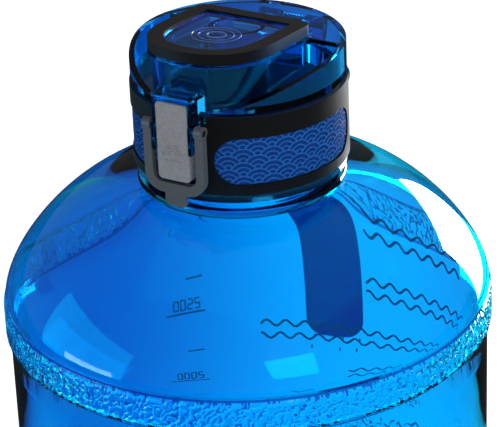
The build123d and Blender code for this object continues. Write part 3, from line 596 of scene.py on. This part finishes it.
def bar(name, points, width):
    """A low round bar through these points on the button's face."""
    verts, faces, sides = [], [], 8
    for i, (x, z) in enumerate(points):
        bx, bz = points[max(0, i - 1)]
        ax, az = points[min(len(points) - 1, i + 1)]
        size = math.hypot(ax - bx, az - bz)
        nx, nz = -(az - bz) / size, (ax - bx) / size
        for k in range(sides):
            a = 2 * math.pi * k / sides
            verts.append((x + nx * width * math.cos(a), button_low.y - width * 0.6 * math.sin(a), z + nz * width * math.cos(a)))
    for i in range(len(points) - 1):
        for k in range(sides):
            n = (k + 1) % sides
            faces.append((i * sides + k, i * sides + n, (i + 1) * sides + n, (i + 1) * sides + k))
    faces.append(tuple(range(sides - 1, -1, -1)))
    faces.append(tuple(range(len(verts) - sides, len(verts))))
    return mesh_piece(name, verts, faces)


def repeated(piece, count, step, mat):
    """piece repeated along step by a node tree, then baked to plain mesh."""
    tree = bpy.data.node_groups.new(piece.name + "_repeat", "GeometryNodeTree")
    tree.interface.new_socket("Geometry", in_out="INPUT", socket_type="NodeSocketGeometry")
    many = tree.interface.new_socket("Count", in_out="INPUT", socket_type="NodeSocketInt")
    pitch = tree.interface.new_socket("Step", in_out="INPUT", socket_type="NodeSocketVector")
    seed = tree.interface.new_socket("Seed", in_out="INPUT", socket_type="NodeSocketInt")
    many.default_value, pitch.default_value, seed.default_value = count, step, 7
    tree.interface.new_socket("Geometry", in_out="OUTPUT", socket_type="NodeSocketGeometry")
    given, made = tree.nodes.new("NodeGroupInput"), tree.nodes.new("NodeGroupOutput")
    line = tree.nodes.new("GeometryNodeMeshLine")
    place = tree.nodes.new("GeometryNodeInstanceOnPoints")
    vary = tree.nodes.new("FunctionNodeRandomValue")
    vary.data_type = "FLOAT_VECTOR"
    vary.inputs["Min"].default_value, vary.inputs["Max"].default_value = Vector((0.94,) * 3), Vector((1,) * 3)
    real = tree.nodes.new("GeometryNodeRealizeInstances")
    coat = tree.nodes.new("GeometryNodeSetMaterial")
    coat.inputs["Material"].default_value = mat
    tree.links.new(given.outputs["Count"], line.inputs["Count"])
    tree.links.new(given.outputs["Step"], line.inputs["Offset"])
    tree.links.new(given.outputs["Seed"], vary.inputs["Seed"])
    tree.links.new(line.outputs["Mesh"], place.inputs["Points"])
    tree.links.new(given.outputs["Geometry"], place.inputs["Instance"])
    tree.links.new(vary.outputs["Value"], place.inputs["Scale"])
    tree.links.new(place.outputs["Instances"], real.inputs["Geometry"])
    tree.links.new(real.outputs["Geometry"], coat.inputs["Geometry"])
    tree.links.new(coat.outputs["Geometry"], made.inputs["Geometry"])
    modifier = piece.modifiers.new("repeat", "NODES")
    modifier.node_group = tree
    graph = bpy.context.evaluated_depsgraph_get()
    piece.data = bpy.data.meshes.new_from_object(piece.evaluated_get(graph))
    piece.modifiers.remove(modifier)
    return piece


ribs = bar("button_ribs", straight((-0.0030, button_high.z - 0.0055), (0.0030, button_high.z - 0.0055), 10), 0.00035)
ribs = repeated(ribs, 5, (0, 0, -0.0016), grey)
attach(ribs, "latch")
for k, wide in enumerate((0.0014, 0.0024, 0.0034)):
    middle = button_low.z + 0.0085
    turns = [math.radians(180 * i / 24) for i in range(25)]
    arc = bar(f"button_arc_{k}", [(wide * math.cos(a), middle + wide * math.sin(a)) for a in turns], 0.0003)
    arc.data.materials.append(grey)
    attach(arc, "latch")


# ---------------------------------------------------------------- strap
# A woven tape loops round the steel bar and runs down behind the jug into a padded
# sleeve of stretch cloth, sewn down its middle and along its edges.
cloth = grained("sleeve_cloth", (0.0005, 0.002, 0.20), (0.7, 0.9), (900, 0.0002), weave, shine=0.05, pale=2.0)
wear(["strap_webbing"], grained("woven_tape", (0.001, 0.004, 0.05), (0.6, 0.85), (700, 0.0003), weave, shine=0.1, pale=2.5))
cad = node["strap_sleeve"]
places = [cad.matrix_world @ v.co for v in cad.data.vertices]
middle = sum(places, Vector()) / len(places)
out_way = Vector((middle.x, middle.y, 0)).normalized()
side_way = Vector((0, 0, 1)).cross(out_way)
depths = [p.dot(out_way) for p in places]
sides = [p.dot(side_way) for p in places]
low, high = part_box("strap_sleeve")
near, far = min(depths), max(depths)
half_w, side_mid = (max(sides) - min(sides)) / 2, (max(sides) + min(sides)) / 2
verts, faces = [], []
rows, cols = 120, 64
for i in range(rows + 1):
    z = high.z - (high.z - low.z - 0.003) * i / rows
    t = i / rows
    grow = min(1.0, 0.62 + 0.38 * min(1.0, t / 0.3))
    foot = max(0.0, (t - 0.86) / 0.14)
    wide = half_w * grow * math.sqrt(max(0.0, 1 - foot ** 3 * 0.62))
    for k in range(cols):
        a = 2 * math.pi * k / cols
        c, s = math.cos(a), math.sin(a)
        u = wide * abs(c) ** 0.7 * (1 if c > 0 else -1)
        d = (far - near) / 2 * abs(s) ** 0.55 * (1 if s > 0 else -1)
        seam = 0.0006 * math.exp(-((u + 0.002) / 0.0007) ** 2)
        seam += 0.0004 * math.exp(-((abs(u) - wide * 0.82) / 0.0006) ** 2)
        wrinkle = 0.00025 * noise.noise(Vector((u * 200, d * 200, z * 130)))
        d = d - (seam + abs(wrinkle)) * (1 if s > 0 else -1)
        d *= 1 - 0.35 * foot ** 4
        place = out_way * ((near + far) / 2 + d) + side_way * (side_mid + u)
        verts.append((place.x, place.y, z))
for i in range(rows):
    for k in range(cols):
        n = (k + 1) % cols
        faces.append((i * cols + k, (i + 1) * cols + k, (i + 1) * cols + n, i * cols + n))
faces.append(tuple(range(cols)))
faces.append(tuple(range(rows * cols + cols - 1, rows * cols - 1, -1)))
sleeve = mesh_piece("padded_sleeve", verts, faces)
sleeve.data.materials.append(cloth)
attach(sleeve, "strap")
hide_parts("strap_sleeve")

thread = grained("sewing_thread", (0.01, 0.02, 0.07), (0.6, 0.8), (2000, 0.00005), pale=2.0)
for label, where in (("left", -0.82), ("middle", -0.2), ("right", 0.82)):
    verts, faces = [], []
    length, thick = 0.0016, 0.00028
    base = out_way * (far + 0.00002 - 0.0006) + side_way * (side_mid + where * half_w)
    for i in range(9):
        t = i / 8
        lift = math.sin(math.pi * t) * 0.0003
        for k in range(6):
            a = 2 * math.pi * k / 6
            p = base + out_way * (lift + thick * math.cos(a)) + side_way * thick * math.sin(a)
            verts.append((p.x, p.y, high.z - 0.022 - length * t))
    for i in range(8):
        for k in range(6):
            n = (k + 1) % 6
            faces.append((i * 6 + k, (i + 1) * 6 + k, (i + 1) * 6 + n, i * 6 + n))
    faces.append(tuple(range(6)))
    faces.append(tuple(range(53, 47, -1)))
    stitch = repeated(mesh_piece(f"stitches_{label}", verts, faces), 14, (0, 0, -0.0022), thread)
    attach(stitch, "strap")


# ---------------------------------------------------------------- studio
# A pale table that glows a little, so that clear plastic has light behind it, with a
# soft blue shadow painted into its colour behind the jug. Mirrors of it are dim.
mesh = bpy.data.meshes.new("floor")
mesh.from_pydata([(-6, -6, 0), (6, -6, 0), (6, 6, 0), (-6, 6, 0)], [], [(0, 1, 2, 3)])
floor = bpy.data.objects.new("floor", mesh)
bpy.context.scene.collection.objects.link(floor)
floor.location.z = -0.0002
mat = bpy.data.materials.new("pale_table")
mat.use_nodes = True
tree = mat.node_tree
shader = tree.nodes["Principled BSDF"]
shader.inputs["Roughness"].default_value = 0.9
shader.inputs["Specular IOR Level"].default_value = 0.1
shader.inputs["Emission Strength"].default_value = 0.92
place = tree.nodes.new("ShaderNodeTexCoord")


def along(way):
    """How far a place on the floor is along this direction."""
    dot = tree.nodes.new("ShaderNodeVectorMath")
    dot.operation = "DOT_PRODUCT"
    dot.inputs[1].default_value = way
    tree.links.new(place.outputs["Object"], dot.inputs[0])
    return dot.outputs["Value"]


def faded(value, start, end, low, high):
    made = ranged(tree, value, low, high, start, end)
    made.node.interpolation_type = "SMOOTHSTEP"
    return made


# The painted shadow is shown only to rays that come through the clear wall, so it is
# left out of the floor as seen directly.
path = tree.nodes.new("ShaderNodeLightPath")
shade = path.outputs["Is Transmission Ray"]
for edge in (faded(along((0.90, 0.44, 0)), -0.11, 0.04, 1, 0), faded(along((-0.52, 0.85, 0)), 0.06, 0.18, 0, 1)):
    both = tree.nodes.new("ShaderNodeMath")
    both.operation = "MULTIPLY"
    tree.links.new(shade, both.inputs[0])
    tree.links.new(edge, both.inputs[1])
    shade = both.outputs[0]
# Deep blue painted shadow, mixed by the mask into the floor's colour and its glow.
painted_shadow_tint = tree.nodes.new("ShaderNodeMix")
painted_shadow_tint.data_type = "RGBA"
painted_shadow_tint.inputs["A"].default_value = (0.9, 0.91, 0.93, 1)
painted_shadow_tint.inputs["B"].default_value = (0.10, 0.17, 0.48, 1)
tree.links.new(shade, painted_shadow_tint.inputs["Factor"])
tree.links.new(painted_shadow_tint.outputs["Result"], shader.inputs["Base Color"])
tree.links.new(painted_shadow_tint.outputs["Result"], shader.inputs["Emission Color"])
dim = tree.nodes.new("ShaderNodeBsdfDiffuse")
dim.inputs["Color"].default_value = (0.05, 0.05, 0.05, 1)
mirrored = tree.nodes.new("ShaderNodeMath")
mirrored.operation = "GREATER_THAN"
tree.links.new(path.outputs["Is Glossy Ray"], mirrored.inputs[0])
tree.links.new(path.outputs["Is Transmission Ray"], mirrored.inputs[1])
mix = tree.nodes.new("ShaderNodeMixShader")
tree.links.new(mirrored.outputs[0], mix.inputs[0])
tree.links.new(shader.outputs[0], mix.inputs[1])
tree.links.new(dim.outputs[0], mix.inputs[2])
tree.links.new(mix.outputs[0], tree.nodes["Material Output"].inputs["Surface"])
floor.data.materials.append(mat)
floor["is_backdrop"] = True

world = bpy.data.worlds.new("studio")
bpy.context.scene.world = world
world.use_nodes = True
wn, wl = world.node_tree.nodes, world.node_tree.links
back = wn["Background"]
back.inputs["Color"].default_value = (0.93, 0.96, 1, 1)
path = wn.new("ShaderNodeLightPath")
through = wn.new("ShaderNodeMapRange")
through.inputs["To Min"].default_value = 0.09
through.inputs["To Max"].default_value = 0.45
power = wn.new("ShaderNodeMix")
power.inputs["B"].default_value = 1.05
wl.new(path.outputs["Is Transmission Ray"], through.inputs["Value"])
wl.new(path.outputs["Is Camera Ray"], power.inputs["Factor"])
wl.new(through.outputs[0], power.inputs["A"])
wl.new(power.outputs[0], back.inputs["Strength"])


def softbox(name, place, aim, width, height, power, colour=(1, 1, 1), glossy=True, diffuse=True):
    """An area lamp at place, turned to aim."""
    lamp = bpy.data.lights.new(name, "AREA")
    lamp.shape, lamp.size, lamp.size_y, lamp.energy = "RECTANGLE", width, height, power
    lamp.color = colour
    obj = bpy.data.objects.new(name, lamp)
    bpy.context.scene.collection.objects.link(obj)
    way = Vector(aim) - Vector(place)
    obj.rotation_mode = "QUATERNION"
    obj.rotation_quaternion = way.to_track_quat("-Z", "Y")
    obj.location = place
    obj.visible_glossy = glossy
    obj.visible_diffuse = diffuse
    return obj


softbox("key", (0.9, -0.7, 1.0), (0, 0, 0.1), 0.5, 0.5, 8, glossy=False)
softbox("overhead", (0, 0.3, 1.4), (0, 0.1, 0), 1.6, 1.6, 6, glossy=False)
softbox("rear_right", (0.15, 0.84, 0.16), (0, 0, 0.16), 0.44, 0.5, 17, diffuse=False)
softbox("front_left", (-0.62, -0.66, 0.175), (0, 0, 0.18), 0.42, 0.10, 0.6, colour=(0.8, 0.95, 1))
softbox("left_glow", (-0.72, -0.62, 0.36), (0, 0, 0.18), 0.85, 0.55, 5, colour=(0.0, 0.6, 1), diffuse=False)

# ---------------------------------------------------------------- camera
lens = bpy.data.cameras.new("camera")
lens.sensor_width, lens.lens = 36.0, 183.96
camera = bpy.data.objects.new("camera", lens)
bpy.context.scene.collection.objects.link(camera)
bpy.context.scene.camera = camera
CAMERA_AT = Vector((0.3823, -0.6363, 0.5724))
CAMERA_AIM = Vector((-0.0049, 0.0117, 0.1985))
CAMERA_ROLL = math.radians(-2.35)
camera.location = CAMERA_AT
camera.rotation_mode = "QUATERNION"
turn = (CAMERA_AIM - CAMERA_AT).to_track_quat("-Z", "Y")
camera.rotation_quaternion = turn @ Matrix.Rotation(CAMERA_ROLL, 3, "Z").to_quaternion()
lens.clip_start, lens.clip_end = 0.05, 50

bpy.context.scene.view_settings.view_transform = "Standard"

low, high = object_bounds()
